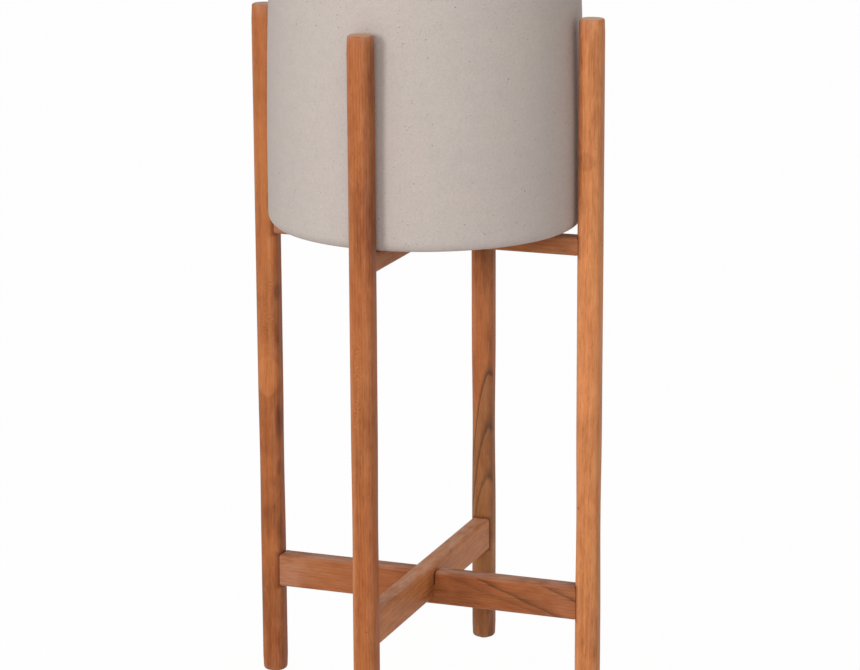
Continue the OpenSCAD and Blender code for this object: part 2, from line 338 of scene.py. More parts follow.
def joint_shade_and_dirt(g, colour, seats):
    """Painted shade, with some dirt, round each place where a rail meets a leg: direction inwards,
    direction across, height of the rail's middle, half the rail's height."""
    height = g.split(g.place)[2]
    for inwards, across, middle, half in seats:
        beside = g.math("SUBTRACT", g.math("ABSOLUTE", g.dot(g.place, across)), RAIL_HALF)
        above = g.math("ABSOLUTE", g.math("SUBTRACT", height, middle))
        outside = g.math("MAXIMUM", beside, g.math("SUBTRACT", above, half))
        near = g.remap(outside, 0.0, SHADE_AND_DIRT_REACH, SHADE_AND_DIRT_SHARE, 0.0)
        inner = g.remap(g.dot(g.place, inwards), SHADE_AND_DIRT_FROM, SHADE_AND_DIRT_TO)
        colour = g.stain(colour, g.math("MULTIPLY", near, inner), SHADE_AND_DIRT)
    return colour


def wood(name, seed, base, pith, tilt, rings=0.10, patches=(), ripple=None, lines=(), heart=0.0,
         bare=None, seats=(), ends=(1, 1, 1)):
    """Oiled teak whose grain runs along the object's own Z axis, cut out of one virtual log.
    base is its mean colour, pith is where the log's middle is, tilt is how that leans, and rings
    is how dark the growth rings are. Patches are paler or darker places: centre, reach, amount,
    and the share of the reach that is even. The functions above say what ripple, lines, heart,
    bare and seats are. ends tints the end grain."""
    g = material_graph(name + "_teak")
    shift = ((seed * 7.31) % 5, (seed * 3.77) % 5, (seed * 5.13) % 5)
    drawn, grain = bent_grain(g, shift)
    phase, ring_dark = growth_rings(g, grain, pith, tilt)
    layers = {kind: layer(g, grain, kind, shift) for kind in WEIGHTS}
    line, fibre, mottle = layers["line"], layers["fibre"], layers["mottle"]

    # The rings darken the wood, so its mean starts a little higher
    value = 0.5 + 0.3 * rings
    for kind, weight in WEIGHTS.items():
        value = g.sway(value, layers[kind], weight)
    value = g.math("MULTIPLY_ADD", ring_dark, -rings, value)
    for centre, reach, amount, even in patches:
        away = g.vector("DIVIDE", g.vector("SUBTRACT", drawn, centre), reach)
        away = g.math("SQRT", g.dot(away, away))
        value = g.math("ADD", value, g.remap(away, even, 1.0, amount, 0.0, smooth=True))
    if ripple:
        value = add_ripple(g, value, grain, shift, *ripple)
    colour = g.times(g.ramp(value, SHADES), base)

    hue = g.remap(layer(g, grain, "hue", (shift[1], shift[2], shift[0])), 0.35, 0.65)
    colour = g.mix(hue, g.times(colour, YELLOWER), g.times(colour, REDDER))
    if lines:
        ragged = layer(g, grain, "ragged", shift)
        colour = growth_lines(g, colour, drawn, ragged, lines, heart, bare)

    # Pores are short dark dashes along the grain, and on end grain they are dots
    gap, lot = g.cells(grain, PORE_WAVES, shift)
    pore = g.math("MULTIPLY", g.remap(gap, 0.12, 0.30, 1.0, 0.0), g.remap(lot[0], 0.55, 1.0))
    gap, lot = g.cells(grain, FLECK_WAVES, shift)
    fleck = g.math("MULTIPLY", g.remap(gap, 0.10, 0.34, 1.0, 0.0), g.remap(lot[1], 0.45, 1.0))
    darker = g.times(colour, PORE)
    colour = g.mix(g.math("MULTIPLY", pore, 0.45), colour, darker)
    colour = g.mix(g.math("MULTIPLY", fleck, 0.40), colour, darker)

    # End grain is paler and greyer, and so are the edges that hands and feet have rubbed; on the
    # rails' top faces and long edges that paler colour is partly a painted sheen
    end_grain = g.mix(g.remap(phase, 0.1, 0.95, 0.0, 0.35), END_PALE, END_DARK)
    end_grain = g.mix(g.math("MULTIPLY", pore, 0.5), end_grain, END_PORE)
    colour = g.mix(g.attribute("end"), colour, g.times(end_grain, ends))
    wear_and_sheen = g.math("MULTIPLY", g.attribute("wear_and_sheen"), g.remap(mottle, 0.35, 0.65, 0.25, 1.0))
    colour = g.mix(wear_and_sheen, colour, g.mix(0.5, colour, RUBBED_AND_SHEEN))
    # Painted shade, with some dirt, where the rails meet the legs
    colour = joint_shade_and_dirt(g, colour, seats)

    rough = g.math("MULTIPLY_ADD", pore, 0.2, g.sway(0.52, line, 0.25))
    height = g.total((line, 0.6), (fibre, 0.5), (pore, -0.8), (mottle, 0.5))
    return g.finish(colour, rough, g.bump(height, 0.12 * MM), Specular_IOR_Level=0.12,
                    Coat_Weight=0.14, Coat_Roughness=0.38)


# Other materials

CLAY = [
    (0.30, (0.565, 0.510, 0.472)),
    (0.50, (0.560, 0.500, 0.468)),
    (0.70, (0.568, 0.498, 0.472)),
]
CLAY_PIT = (0.12, 0.095, 0.085)
CLAY_RUBBED = (0.68, 0.61, 0.57)


def clay():
    """Matt warm grey fibre clay with fine pinholes and faint clouds of colour."""
    g = material_graph("pot_clay_made")

    def pinholes(waves, seed, lot, least, sizes, rim):
        """Holes at scattered points. One of each point's random numbers sets its size, a share
        of the points' distance, and up to the number least the size is the smaller one."""
        gap, lots = g.cells(g.place, (waves, waves, waves), seed)
        size = g.remap(lots[lot], least, 1.0, *sizes)
        return g.remap(g.math("DIVIDE", gap, size), rim, 1.0, 1.0, 0.0)

    cloud = g.noise(g.place, (9, 9, 12), 3, 0.55)
    blotch = g.noise(g.place, (55, 55, 70), 3, 0.6, (3, 1, 2))
    sand = g.noise(g.place, (420, 420, 420), 3, 0.7, (1, 5, 2))
    turning = g.noise(g.place, (4, 4, 160), 2, 0.6, (2, 2, 7))
    shade = 1.0
    for part, weight in ((blotch, 0.10), (sand, 0.36), (turning, 0.03)):
        shade = g.sway(shade, part, weight)
    grey = g.add("CombineXYZ")
    for socket in grey.inputs:
        g.put(socket, shade)
    colour = g.times(g.ramp(cloud, CLAY), grey.outputs[0])
    fine = pinholes(200, (4, 4, 1), 0, 0.0, (0.06, 0.16), 0.5)
    wide = pinholes(132, (1, 9, 3), 1, 0.2, (0.042, 0.125), 0.55)
    pits = g.math("MAXIMUM", g.math("MULTIPLY", fine, 0.50), g.math("MULTIPLY", wide, 0.76))
    colour = g.mix(g.math("MULTIPLY", pits, 0.88), colour, CLAY_PIT)
    rubbed = g.math("MULTIPLY", g.attribute("wear_and_sheen"), g.remap(blotch, 0.35, 0.6, 0.1, 0.5))
    colour = g.mix(rubbed, colour, CLAY_RUBBED)
    height = g.total((blotch, 0.8), (sand, 0.35), (turning, 0.4), (pits, -1.4))
    return g.finish(colour, g.sway(0.78, blotch, 0.18), g.bump(height, 0.25 * MM),
                    Specular_IOR_Level=0.3)


def plain_wood():
    """Plain beech, whose grain doesn't show."""
    g = material_graph("dowel_wood_made")
    grain = g.noise(g.place, (700, 700, 700), 3, 0.6)
    colour = g.ramp(grain, [(0.3, (0.55, 0.38, 0.20)), (0.7, (0.78, 0.60, 0.36))])
    return g.finish(colour, g.remap(grain, 0.3, 0.7, 0.55, 0.7), g.bump(grain, 0.1 * MM),
                    Specular_IOR_Level=0.3)


def steel():
    """Zinc plated steel, dulled in patches."""
    g = material_graph("screw_steel_made")
    dull = g.noise(g.place, (900, 900, 900), 3, 0.6)
    swirl = g.noise(g.place, (3000, 3000, 400), 2, 0.6, (1, 2, 3))
    colour = g.ramp(dull, [(0.3, (0.42, 0.40, 0.36)), (0.7, (0.62, 0.61, 0.58))])
    return g.finish(colour, g.remap(swirl, 0.3, 0.7, 0.26, 0.46), g.bump(swirl, 0.02 * MM),
                    Metallic=1.0)


def nylon():
    """Brown moulded nylon with scuffs."""
    g = material_graph("glide_plastic_made")
    pits = g.noise(g.place, (1600, 1600, 1600), 3, 0.6)
    scuff = g.noise(g.place, (500, 90, 500), 3, 0.7, (5, 1, 0))
    colour = g.mix(g.remap(scuff, 0.5, 0.7, 0.0, 0.6), (0.105, 0.066, 0.043), (0.20, 0.145, 0.105))
    return g.finish(colour, g.remap(scuff, 0.4, 0.7, 0.42, 0.62), g.bump(pits, 0.05 * MM),
                    Specular_IOR_Level=0.4)


def rubber():
    """Black rubber with a little dust on it."""
    g = material_graph("plug_rubber_made")
    dust = g.noise(g.place, (260, 260, 260), 4, 0.65)
    pits = g.noise(g.place, (2200, 2200, 2200), 2, 0.6, (2, 0, 1))
    colour = g.mix(g.remap(dust, 0.48, 0.7, 0.0, 0.5), (0.020, 0.019, 0.018), (0.075, 0.068, 0.062))
    return g.finish(colour, g.remap(dust, 0.3, 0.7, 0.6, 0.8), g.bump(pits, 0.06 * MM),
                    Specular_IOR_Level=0.3)


# Mesh tools

def make_piece(name, verts, faces, material, body, node, matrix, marks, sharp=40):
    """A mesh object that stands for a CAD node. marks holds numbers per vertex for its material,
    and edges of more than sharp degrees look sharp."""
    mesh = bpy.data.meshes.new(name)
    mesh.from_pydata(verts, [], faces)
    mesh.validate()
    mesh.update()
    for key, values in marks.items():
        mark = mesh.attributes.new(key, "FLOAT", "POINT")
        mark.data.foreach_set("value", np.asarray(values, np.float32))
    mesh.shade_smooth()
    mesh.set_sharp_from_angle(angle=math.radians(sharp))
    mesh.materials.append(material)
    piece = bpy.data.objects.new(name, mesh)
    bpy.context.scene.collection.objects.link(piece)
    piece.matrix_world = matrix
    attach(piece, body)
    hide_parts(node)


def smooth_table(table, at):
    """Values between the rows of a table of (place, value, ...), joined by cosine waves."""
    places = [row[0] for row in table]
    at = min(max(at, places[0]), places[-1])
    i = max(k for k in range(len(places)) if places[k] <= at)
    if i == len(places) - 1:
        return table[-1][1:]
    t = (at - places[i]) / (places[i + 1] - places[i])
    t = (1 - math.cos(math.pi * t)) / 2
    return [a + (b - a) * t for a, b in zip(table[i][1:], table[i + 1][1:])]


def between(limit, steps):
    """Evenly spaced places inside the stretch from -limit to limit."""
    return [limit * (2 * i / steps - 1) for i in range(1, steps)]


def edge_inset(radius, away):
    """How far a rounded edge has drawn a side in, at a distance from the face beyond the edge."""
    return radius - math.sqrt(max(radius**2 - max(radius - away, 0) ** 2, 0))


def rounded_loop(half_x, half_y, edge, arc_steps, across, along):
    """Points once round a rectangle with rounded corners, and how far each is round a corner, 0
    to 1. Its flat sides have points at the places across and along, which rise."""
    points, wear_and_sheen = [], []
    corners = [(1, 1, 0), (-1, 1, 90), (-1, -1, 180), (1, -1, 270)]
    for k, (sx, sy, start) in enumerate(corners):
        cx, cy = sx * (half_x - edge), sy * (half_y - edge)
        for i in range(arc_steps + 1):
            a = math.radians(start + 90 * i / arc_steps)
            points.append((cx + edge * math.cos(a), cy + edge * math.sin(a)))
            wear_and_sheen.append(math.sin(math.pi * i / arc_steps))
        if k % 2 == 0:
            side = [(x, sy * half_y) for x in (across[::-1] if k == 0 else across)]
        else:
            side = [(sx * half_x, y) for y in (along[::-1] if k == 1 else along)]
        points += side
        wear_and_sheen += [0.0] * len(side)
    return points, wear_and_sheen


def joined(a, b, flip=False):
    """The faces between two rings of points, which are turned over by flip."""
    faces = zip(a, a[1:] + a[:1], b[1:] + b[:1], b)
    return [face[::-1] if flip else face for face in faces]


def wobble(x, y, z, seed, amount):
    """Small slow unevenness of a hand-sanded surface, from 0 to amount."""
    at = Vector((x * 30 + seed, y * 30 - seed, z * 9 + seed * 2))
    return amount * (0.5 + 0.5 * noise.noise(at))


# Legs

# Counts of straight pieces along a leg, round one of its corners and across its flat sides
LEG_STEPS, LEG_ARC_STEPS, FLAT_STEPS = 96, 10, 6
# Where a leg's rings of points lie near its ends, in shares of an end's rounding, and how far
# from the ends the evenly spaced rings between them are counted
END_LEVELS = (0.0, 0.04, 0.13, 0.28, 0.5, 0.75, 1.0, 1.8)
LEG_FIRST = 9 * MM
# The rings that close an end, in shares of the outer one
END_RINGS = (0.8, 0.55, 0.3)
# The share of an end's rounding at which its end grain starts, the wear there and how slowly that
# fades, and the wear of the long edges
GRAIN_START, RIM_WEAR, RIM_FADE = 0.35, 0.8, 0.4
LEG_EDGE_WEAR = 0.12
# How worn the wood is above a foot and below a top, and how far that reaches
FOOT_WEAR, TOP_WEAR = (0.30, 8 * MM), (0.55, 5 * MM)


def leg(name, place, waist, material, low, high, top_round):
    """A leg whose half widths along X and Y, in millimetres, follow its table of heights."""
    seed = sum(map(ord, name)) % 17
    levels = [low + FOOT_ROUND * share for share in END_LEVELS]
    first, last = low + LEG_FIRST, high - LEG_FIRST
    levels += [first + (last - first) * i / LEG_STEPS for i in range(1, LEG_STEPS)]
    levels += [high - top_round * share for share in reversed(END_LEVELS)]
    verts, faces, end, wear_and_sheen, rings = [], [], [], [], []
    for z in levels:
        if z - low < high - z:
            near, rounding, (worn, reach) = z - low, FOOT_ROUND, FOOT_WEAR
        else:
            near, rounding, (worn, reach) = high - z, top_round, TOP_WEAR
        inset = edge_inset(rounding, near)
        turned = inset / rounding
        half_x, half_y = (half * MM for half in smooth_table(waist, z))
        edge = LEG_EDGE + END_EDGE_MORE * max(0, 1 - near / END_EDGE_REACH) ** 2
        loop, corner = rounded_loop(
            half_x - inset, half_y - inset, edge - inset, LEG_ARC_STEPS,
            between(half_x - edge, FLAT_STEPS), between(half_y - edge, FLAT_STEPS))
        rings.append(list(range(len(verts), len(verts) + len(loop))))
        for (x, y), c in zip(loop, corner):
            dip = wobble(x + place[0], y + place[1], z, seed, LEG_UNEVEN)
            shrink = 1 - dip / math.hypot(x, y)
            verts.append((x * shrink, y * shrink, z))
            end.append(max(0.0, (turned - GRAIN_START) / (1 - GRAIN_START)))
            wear_and_sheen.append(max(LEG_EDGE_WEAR * c, worn * math.exp(-near / reach),
                            RIM_WEAR - abs(turned - GRAIN_START) / RIM_FADE))
    for a, b in zip(rings, rings[1:]):
        faces += joined(a, b)
    # The two ends are closed by rings that shrink towards the middle
    for outer, z, foot in ((rings[0], low, True), (rings[-1], high, False)):
        ring = outer
        for share in END_RINGS:
            inner = list(range(len(verts), len(verts) + len(outer)))
            verts += [(verts[i][0] * share, verts[i][1] * share, z) for i in outer]
            faces += joined(ring, inner, foot)
            ring = inner
        centre = len(verts)
        verts.append((0, 0, z))
        for a, b in zip(ring, ring[1:] + ring[:1]):
            faces.append((centre, b, a) if foot else (a, b, centre))
        added = len(verts) - len(end)
        end += [1.0] * added
        wear_and_sheen += [0.0] * added
    make_piece(name + "_wood", verts, faces, material, "stand", name,
               Matrix.Translation((*place, 0)), {"end": end, "wear_and_sheen": wear_and_sheen})


# Rails

# Counts of straight pieces along a half of a rail, round an edge, up its side and round the hole
BAR_STEPS, RAIL_ARC_STEPS, SIDE_STEPS, HOLE_STEPS = 34, 7, 5, 24
# Where a rail's rings of points lie near its notch, in shares of the mouth's rounding, where its
# evenly spaced ones stop, and where those near its ends lie
MOUTH_LEVELS = (0, 0.12, 0.35, 0.65, 1)
BAR_STOP = LEG_INNER - 6 * MM
SHOULDER_LEVELS = [away * MM for away in (3.0, 1.0, 0.7, 0.4, 0.2, 0.07, 0.0)]
# No other point up the side comes this near to the one at the notch's floor, and the underside's
# points within this of the middle lie round the screw's hole
LAP_CLEAR, HOLE_ROOM = 1.5 * MM, 5 * MM
# Wear and painted sheen on a rail's long edges, painted sheen with some dust on its top down to
# TOP_BAND below it, and wear round its shoulders
RAIL_EDGE_WEAR_AND_SHEEN, RAIL_TOP_SHEEN_AND_DUST, SHOULDER_WEAR = 0.25, 0.75, 0.3
TOP_BAND = 0.5 * MM
# Wear at the left and right ends of the rails that lie under, and how far it reaches undimmed
LEFT_WEAR, RIGHT_WEAR, WEAR_REACH = 0.34, 0.10, 20 * MM


def leg_surface(w):
    """Distance from the stand's axis to a leg's inner surface at a place w off the middle."""
    off = min(max(abs(w) - (LEG_HALF - LEG_EDGE), 0), LEG_EDGE)
    return LEG_INNER + LEG_EDGE - math.sqrt(LEG_EDGE**2 - off**2)


def drawn_in(at, inset, flat):
    """A place moved in by inset, or by less where it is within flat of the middle."""
    return math.copysign(max(abs(at) - inset * min(1, abs(at) / flat), 0), at)


def screw_hole(verts, faces, half_h, around, front, back):
    """Closes a rail's underside between its rings front and back, round a hole for the screw.
    around says which of their points are there, from left to right."""
    circles = []
    for r, depth in ((SCREW_MOUTH, 0), (SCREW_MOUTH, SCREW_SINK), (SCREW_NECK, SCREW_CONE)):
        circles.append(list(range(len(verts), len(verts) + HOLE_STEPS)))
        for k in range(HOLE_STEPS):
            a = math.radians(-90 + 360 * k / HOLE_STEPS)
            verts.append((r * math.cos(a), depth - half_h, r * math.sin(a)))
    mouth = circles[0]
    middle, half_turn = len(around) // 2, HOLE_STEPS // 2
    right, left = around[middle:], around[:middle + 1]
    faces.append([back[i] for i in right] + [front[i] for i in reversed(right)]
                 + mouth[half_turn::-1])
    faces.append([back[i] for i in left] + [mouth[0]] + mouth[:half_turn - 1:-1]
                 + [front[i] for i in reversed(left)])
    for a, b in zip(circles, circles[1:]):
        faces += joined(a, b)
    faces.append(circles[-1])


def rail(name, over, half_h, mid_z, lap, material):
    """A rail whose own axes are across, height and length. Its ends follow the legs. Its half-lap
    notch is cut from below if it lies over the other rail, and from above if not. The notch's
    floor is at the height lap, measured from the rail's middle, and its mouth is rounded."""
    seed = sum(map(ord, name)) % 13
    lap_half, mouth = OVER_NOTCH if over else UNDER_NOTCH
    notch = -1 if over else 1
    flat_w, flat_h = RAIL_HALF - RAIL_EDGE, half_h - RAIL_EDGE
    sides = [h for h in between(flat_h, SIDE_STEPS) if abs(h - lap) > LAP_CLEAR]
    loop, corner = rounded_loop(RAIL_HALF, half_h, RAIL_EDGE, RAIL_ARC_STEPS,
                                between(flat_w, FLAT_STEPS), sorted([lap] + sides))
    size = len(loop)
    verts, faces, wear_and_sheen = [], [], []

    # Each of these turns a point of the loop into its place across, in height and in length
    def in_mouth(w, h, away, sign):
        past = (h - lap) * notch
        if past > 0:
            h -= notch * edge_inset(mouth, away) * min(1, past / (flat_h - lap * notch))
        return w, h, lap_half + away

    def in_bar(w, h, along, sign):
        dip = wobble(w, h + mid_z, sign * along, seed, RAIL_UNEVEN)
        shrink = 1 - dip / math.hypot(w, h)
        return w * shrink, h * shrink, along

    def at_leg(w, h, away, sign):
        inset = edge_inset(SHOULDER, away)
        w, h = drawn_in(w, inset, flat_w), drawn_in(h, inset, flat_h)
        return w, h, leg_surface(w) - JOINT_GAP - away

    def add_ring(shape, value, sign, worn):
        for (w, h), c in zip(loop, corner):
            # Top face: painted sheen with some dust; long edges: wear and painted sheen
            top = RAIL_TOP_SHEEN_AND_DUST if h > half_h - TOP_BAND else 0
            wear_and_sheen.append(max(RAIL_EDGE_WEAR_AND_SHEEN * c, worn, top))
            w, h, length = shape(w, h, value, sign)
            verts.append((w, h, sign * length))
        return list(range(len(verts) - size, len(verts)))

    walls = {}
    for sign in (1, -1):
        end_wear = 0 if over else (LEFT_WEAR if sign < 0 else RIGHT_WEAR)
        rings = [add_ring(in_mouth, mouth * share, sign, 0) for share in MOUTH_LEVELS]
        begin = lap_half + mouth
        for i in range(1, BAR_STEPS + 1):
            along = begin + (BAR_STOP - begin) * i / BAR_STEPS
            fade = math.exp(-max(LEG_INNER - along - WEAR_REACH, 0) / WEAR_REACH)
            rings.append(add_ring(in_bar, along, sign, end_wear * fade))
        for away in SHOULDER_LEVELS:
            worn = max(end_wear, SHOULDER_WEAR if away < SHOULDER else 0)
            rings.append(add_ring(at_leg, away, sign, worn))
        for a, b in zip(rings, rings[1:]):
            faces += joined(a, b, sign < 0)
        walls[sign] = rings[0]
        faces.append(rings[-1][::sign])

    # Through the notch only the solid part goes on. The lower rail of a pair has the screw's
    # hole in its underside there.
    front, back = walls[1], walls[-1]
    solid = {i for i in range(size) if (loop[i][1] - lap) * notch <= SAME}
    around = []
    if not over:
        around = [i for i in range(size)
                  if abs(loop[i][1] + half_h) < SAME and abs(loop[i][0]) < HOLE_ROOM]
        solid -= set(around[1:-1])
    through = joined(back, front)
    faces += [through[i] for i in range(size) if i in solid and (i + 1) % size in solid]
    if around:
        around.sort(key=lambda i: loop[i][0])
        screw_hole(verts, faces, half_h, around, front, back)
        wear_and_sheen += [0.0] * (len(verts) - len(wear_and_sheen))

    # The notch's two walls and its floor
    floor_ends = [i for i in range(size) if abs(loop[i][1] - lap) <= SAME]
    right = next(i for i in floor_ends if loop[i][0] > 0)
    left = next(i for i in floor_ends if loop[i][0] < 0)
    order = [right]
    while order[-1] != left:
        order.append((order[-1] + notch) % size)
    for sign in (1, -1):
        faces.append([walls[sign][i] for i in order][::-sign * notch])
    faces.append([front[right], front[left], back[left], back[right]][::-notch])

    axes = ((-1, 0, 0), (0, 0, 1), (0, 1, 0)) if over else ((0, 1, 0), (0, 0, 1), (1, 0, 0))
    matrix = Matrix(axes).transposed().to_4x4()
    matrix.translation = Vector((0, 0, mid_z))
    make_piece(name + "_wood", verts, faces, material, "stand", name, matrix,
               {"end": [0.0] * len(verts), "wear_and_sheen": wear_and_sheen})


# Build: legs and rails

leg_low, leg_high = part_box("leg_front")[0].z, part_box("leg_front")[1].z
FRONT_BACK = ("upper_rail_front_back", "lower_rail_front_back")
LEFT_RIGHT = ("upper_rail_left_right", "lower_rail_left_right")


def rail_seats(inwards, rails):
    """Where the two rails of one direction meet a leg."""
    across = (inwards[1], inwards[0], 0)
    found = []
    for name in rails:
        low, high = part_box(name)
        found.append((inwards, across, (high.z + low.z) / 2, (high.z - low.z) / 2))
    return found


PLACES = {
    "leg_front": (0, -LEG_CIRCLE), "leg_right": (LEG_CIRCLE, 0),
    "leg_back": (0, LEG_CIRCLE), "leg_left": (-LEG_CIRCLE, 0),
}
# Height in metres, half width along X and half width along Y in millimetres
WAISTS = {
    "leg_front": [(0, 13.9, 13.9), (0.17, 14.0, 14.0), (0.26, 13.7, 13.5), (0.38, 14.1, 14.0),
                  (0.82, 14.1, 14.0)],
    "leg_right": [(0, 14.0, 13.9), (0.11, 14.0, 14.0), (0.23, 13.4, 13.4), (0.35, 14.0, 14.0),
                  (0.82, 14.0, 14.0)],
    "leg_back": [(0, 13.7, 13.6), (0.16, 13.8, 13.7), (0.28, 13.2, 13.2), (0.40, 13.9, 13.8),
                 (0.82, 14.0, 14.0)],
    "leg_left": [(0, 14.0, 14.0), (0.17, 13.9, 13.9), (0.265, 13.6, 13.6), (0.38, 14.0, 14.1),
                 (0.82, 14.0, 14.0)],
}
# The way across the back leg that its arched growth lines bend along
ARCH = (0.94, 0.34, 0)
# The wood of each piece, as wood() takes it, with marks where the photo shows them. Some patches
# are painted shade and painted light, as noted at each
TEAK = {
    "leg_front": dict(
        seed=1.0, base=(0.430, 0.138, 0.041), pith=(0.060, 0.040), tilt=(0.004, -0.003),
        patches=[((0.0, -0.014, 0.730), (0.03, 0.03, 0.10), 0.05, 0.3),
                 # Painted shade: the pot shades the upper right side
                 ((0.014, 0.0, 0.700), (0.014, 0.03, 0.20), -0.22, 0.3),
                 ((0.008, -0.010, 0.600), (0.017, 0.03, 0.085), -0.18, 0.3),
                 # Painted light: the left edge paler, as light from the left makes it
                 ((-0.0108, -0.012, 0.290), (0.0065, 0.02, 0.300), 0.27, 0.4),
                 ((0.005, -0.0139, 0.1426), (0.0012, 0.0025, 0.0012), -0.5, 0.3)],
        ripple=(0.345, 0.500, -0.0065, 0.004, 0.19),
        seats=rail_seats((0, 1, 0), FRONT_BACK), ends=(1.08, 0.88, 0.74)),
    "leg_right": dict(
        seed=2.3, base=(0.670, 0.256, 0.091), pith=(-0.055, 0.070), tilt=(-0.006, 0.004),
        rings=0.07,
        patches=[((-0.003, -0.014, 0.658), (0.013, 0.04, 0.0135), -0.12, 0.55),
                 ((-0.005, -0.014, 0.617), (0.010, 0.04, 0.016), -0.08, 0.3),
                 ((0.0, -0.010, 0.730), (0.03, 0.04, 0.120), -0.09, 0.5),
                 # Painted shade: the pot shades the upper left side
                 ((-0.014, -0.010, 0.715), (0.010, 0.04, 0.195), -0.22, 0.5),
                 ((0.0, -0.010, 0.460), (0.03, 0.03, 0.130), 0.11, 0.6),
                 # Painted light: the lower left edge paler, as light from the left makes it
                 ((-0.012, -0.012, 0.130), (0.008, 0.02, 0.150), 0.16, 0.6),
                 ((0.003, -0.012, 0.070), (0.03, 0.03, 0.090), -0.06, 0.5),
                 ((-0.0088, -0.0128, 0.2499), (0.0020, 0.0030, 0.0030), -0.35, 0.2)],
        seats=rail_seats((-1, 0, 0), LEFT_RIGHT), ends=(1.30, 1.34, 1.26)),
    "leg_back": dict(
        seed=3.9, base=(0.440, 0.148, 0.047), pith=(0.060, -0.070), tilt=(0.004, 0.008),
        rings=0.05,
        # The first patch is painted shade under the pot
        patches=[((0.004, -0.012, 0.530), (0.03, 0.03, 0.065), -0.30, 0.3),
                 ((0.0, -0.012, 0.440), (0.03, 0.03, 0.060), 0.06, 0.3),
                 ((-0.011, -0.011, 0.410), (0.008, 0.03, 0.080), 0.16, 0.3),
                 ((0.0, -0.013, 0.030), (0.03, 0.03, 0.060), -0.15, 0.8),
                 # Painted light that lifts the shade between the lower rails
                 ((0.0, -0.013, 0.110), (0.03, 0.03, 0.030), 0.26, 0.6),
                 # Painted shade under the pot, on the right edge
                 ((0.011, -0.009, 0.500), (0.018, 0.03, 0.075), -0.15, 0.5),
                 ((0.010, -0.011, 0.385), (0.006, 0.02, 0.035), -0.12, 0.1)],
        lines=[((0, 0, 1), (ARCH, 0.0068, 267.0), 0.3470, 0.0050, 0.020, 0.95),
               ((0, 0, 1), (ARCH, 0.0068, 240.0), 0.2795, 0.0080, 0.024, 0.80),
               ((0, 0, 1), (ARCH, 0.0056, 200.0), 0.2144, 0.0080, 0.018, 0.60)],
        heart=0.85, bare=((0, 1, 0), -0.0070, -0.0010),
        seats=rail_seats((0, -1, 0), FRONT_BACK)),
    "leg_left": dict(
        seed=5.2, base=(0.425, 0.136, 0.040), pith=(0.030, 0.080), tilt=(-0.010, 0.004),
        patches=[((0.0015, -0.0139, 0.374), (0.0158, 0.03, 0.027), 0.16, 0.82),
                 ((0.0015, -0.0139, 0.383), (0.0158, 0.03, 0.036), 0.09, 0.84),
                 ((0.0015, -0.0139, 0.395), (0.0158, 0.03, 0.048), 0.08, 0.60),
                 ((0.0, -0.013, 0.590), (0.02, 0.03, 0.150), 0.12, 0.4),
                 ((0.0, -0.013, 0.740), (0.03, 0.03, 0.180), 0.06, 0.6),
                 ((0.009, -0.012, 0.530), (0.009, 0.02, 0.030), 0.16, 0.3),
                 ((0.0095, -0.0130, 0.376), (0.0070, 0.02, 0.020), 0.12, 0.4),
                 ((0.0, -0.013, 0.192), (0.02, 0.02, 0.035), -0.14, 0.3),
                 ((0.0135, -0.009, 0.478), (0.006, 0.02, 0.016), -0.26, 0.3),
                 ((0.0125, -0.011, 0.425), (0.0025, 0.02, 0.024), -0.20, 0.2),
                 ((0.0125, -0.010, 0.318), (0.0035, 0.02, 0.032), -0.34, 0.3),
                 ((0.0125, -0.010, 0.260), (0.0035, 0.02, 0.014), -0.20, 0.3),
                 ((0.0125, -0.010, 0.170), (0.0045, 0.02, 0.040), -0.20, 0.3),
                 ((0.0, -0.013, 0.250), (0.02, 0.02, 0.09), -0.07, 0.5),
                 ((0.002, -0.013, 0.262), (0.03, 0.03, 0.022), 0.09, 0.4),
                 ((-0.012, -0.012, 0.030), (0.008, 0.02, 0.050), 0.16, 0.4),
                 ((0.0, -0.013, 0.050), (0.03, 0.03, 0.10), -0.14, 0.7)],
        ripple=(0.395, 0.520, -0.006, 0.013, 0.17), seats=rail_seats((1, 0, 0), LEFT_RIGHT)),
    "upper_rail_front_back": dict(
        seed=6.1, base=(0.42, 0.142, 0.040), pith=(0.06, 0.05), tilt=(0.02, 0.01)),
    "upper_rail_left_right": dict(
        seed=7.7, base=(0.37, 0.128, 0.040), pith=(-0.05, 0.06), tilt=(0.01, 0.02)),
    "lower_rail_front_back": dict(
        seed=8.4, base=(0.565, 0.212, 0.074), pith=(-0.06, 0.05), tilt=(0.02, -0.02),
        patches=[((-0.011, 0.004, -0.160), (0.02, 0.016, 0.030), 0.10, 0.2),
                 # Painted shade beside the crossing
                 ((-0.011, -0.004, -0.018), (0.02, 0.026, 0.024), -0.12, 0.2),
                 ((-0.011, 0.0, 0.100), (0.02, 0.03, 0.090), 0.05, 0.5),
                 ((-0.011, -0.010, 0.000), (0.02, 0.012, 0.080), -0.10, 0.2)]),
    "lower_rail_left_right": dict(
        seed=9.6, base=(0.375, 0.120, 0.040), pith=(0.05, -0.08), tilt=(-0.03, 0.02),
        patches=[((-0.011, 0.0, -0.110), (0.02, 0.03, 0.11), 0.12, 0.6),
                 ((-0.011, 0.0, 0.024), (0.02, 0.03, 0.020), 0.08, 0.4),
                 ((-0.011, 0.0, 0.068), (0.02, 0.03, 0.030), -0.03, 0.4)],
        lines=[((0, 1, 0.36), None, 0.0412, 0.0020, 0.010, 0.70),
               ((0, 1, 0.36), None, 0.0706, 0.0014, 0.008, 0.70),
               ((0, 1, 0.30), None, 0.0250, 0.0030, 0.010, 0.30)],
        bare=((0, 1, 0), 0.0165, 0.0190)),
}
for name, waist in WAISTS.items():
    leg(name, PLACES[name], waist, wood(name, **TEAK[name]), leg_low, leg_high,
        FRONT_TOP_ROUND if name == "leg_front" else TOP_ROUND)
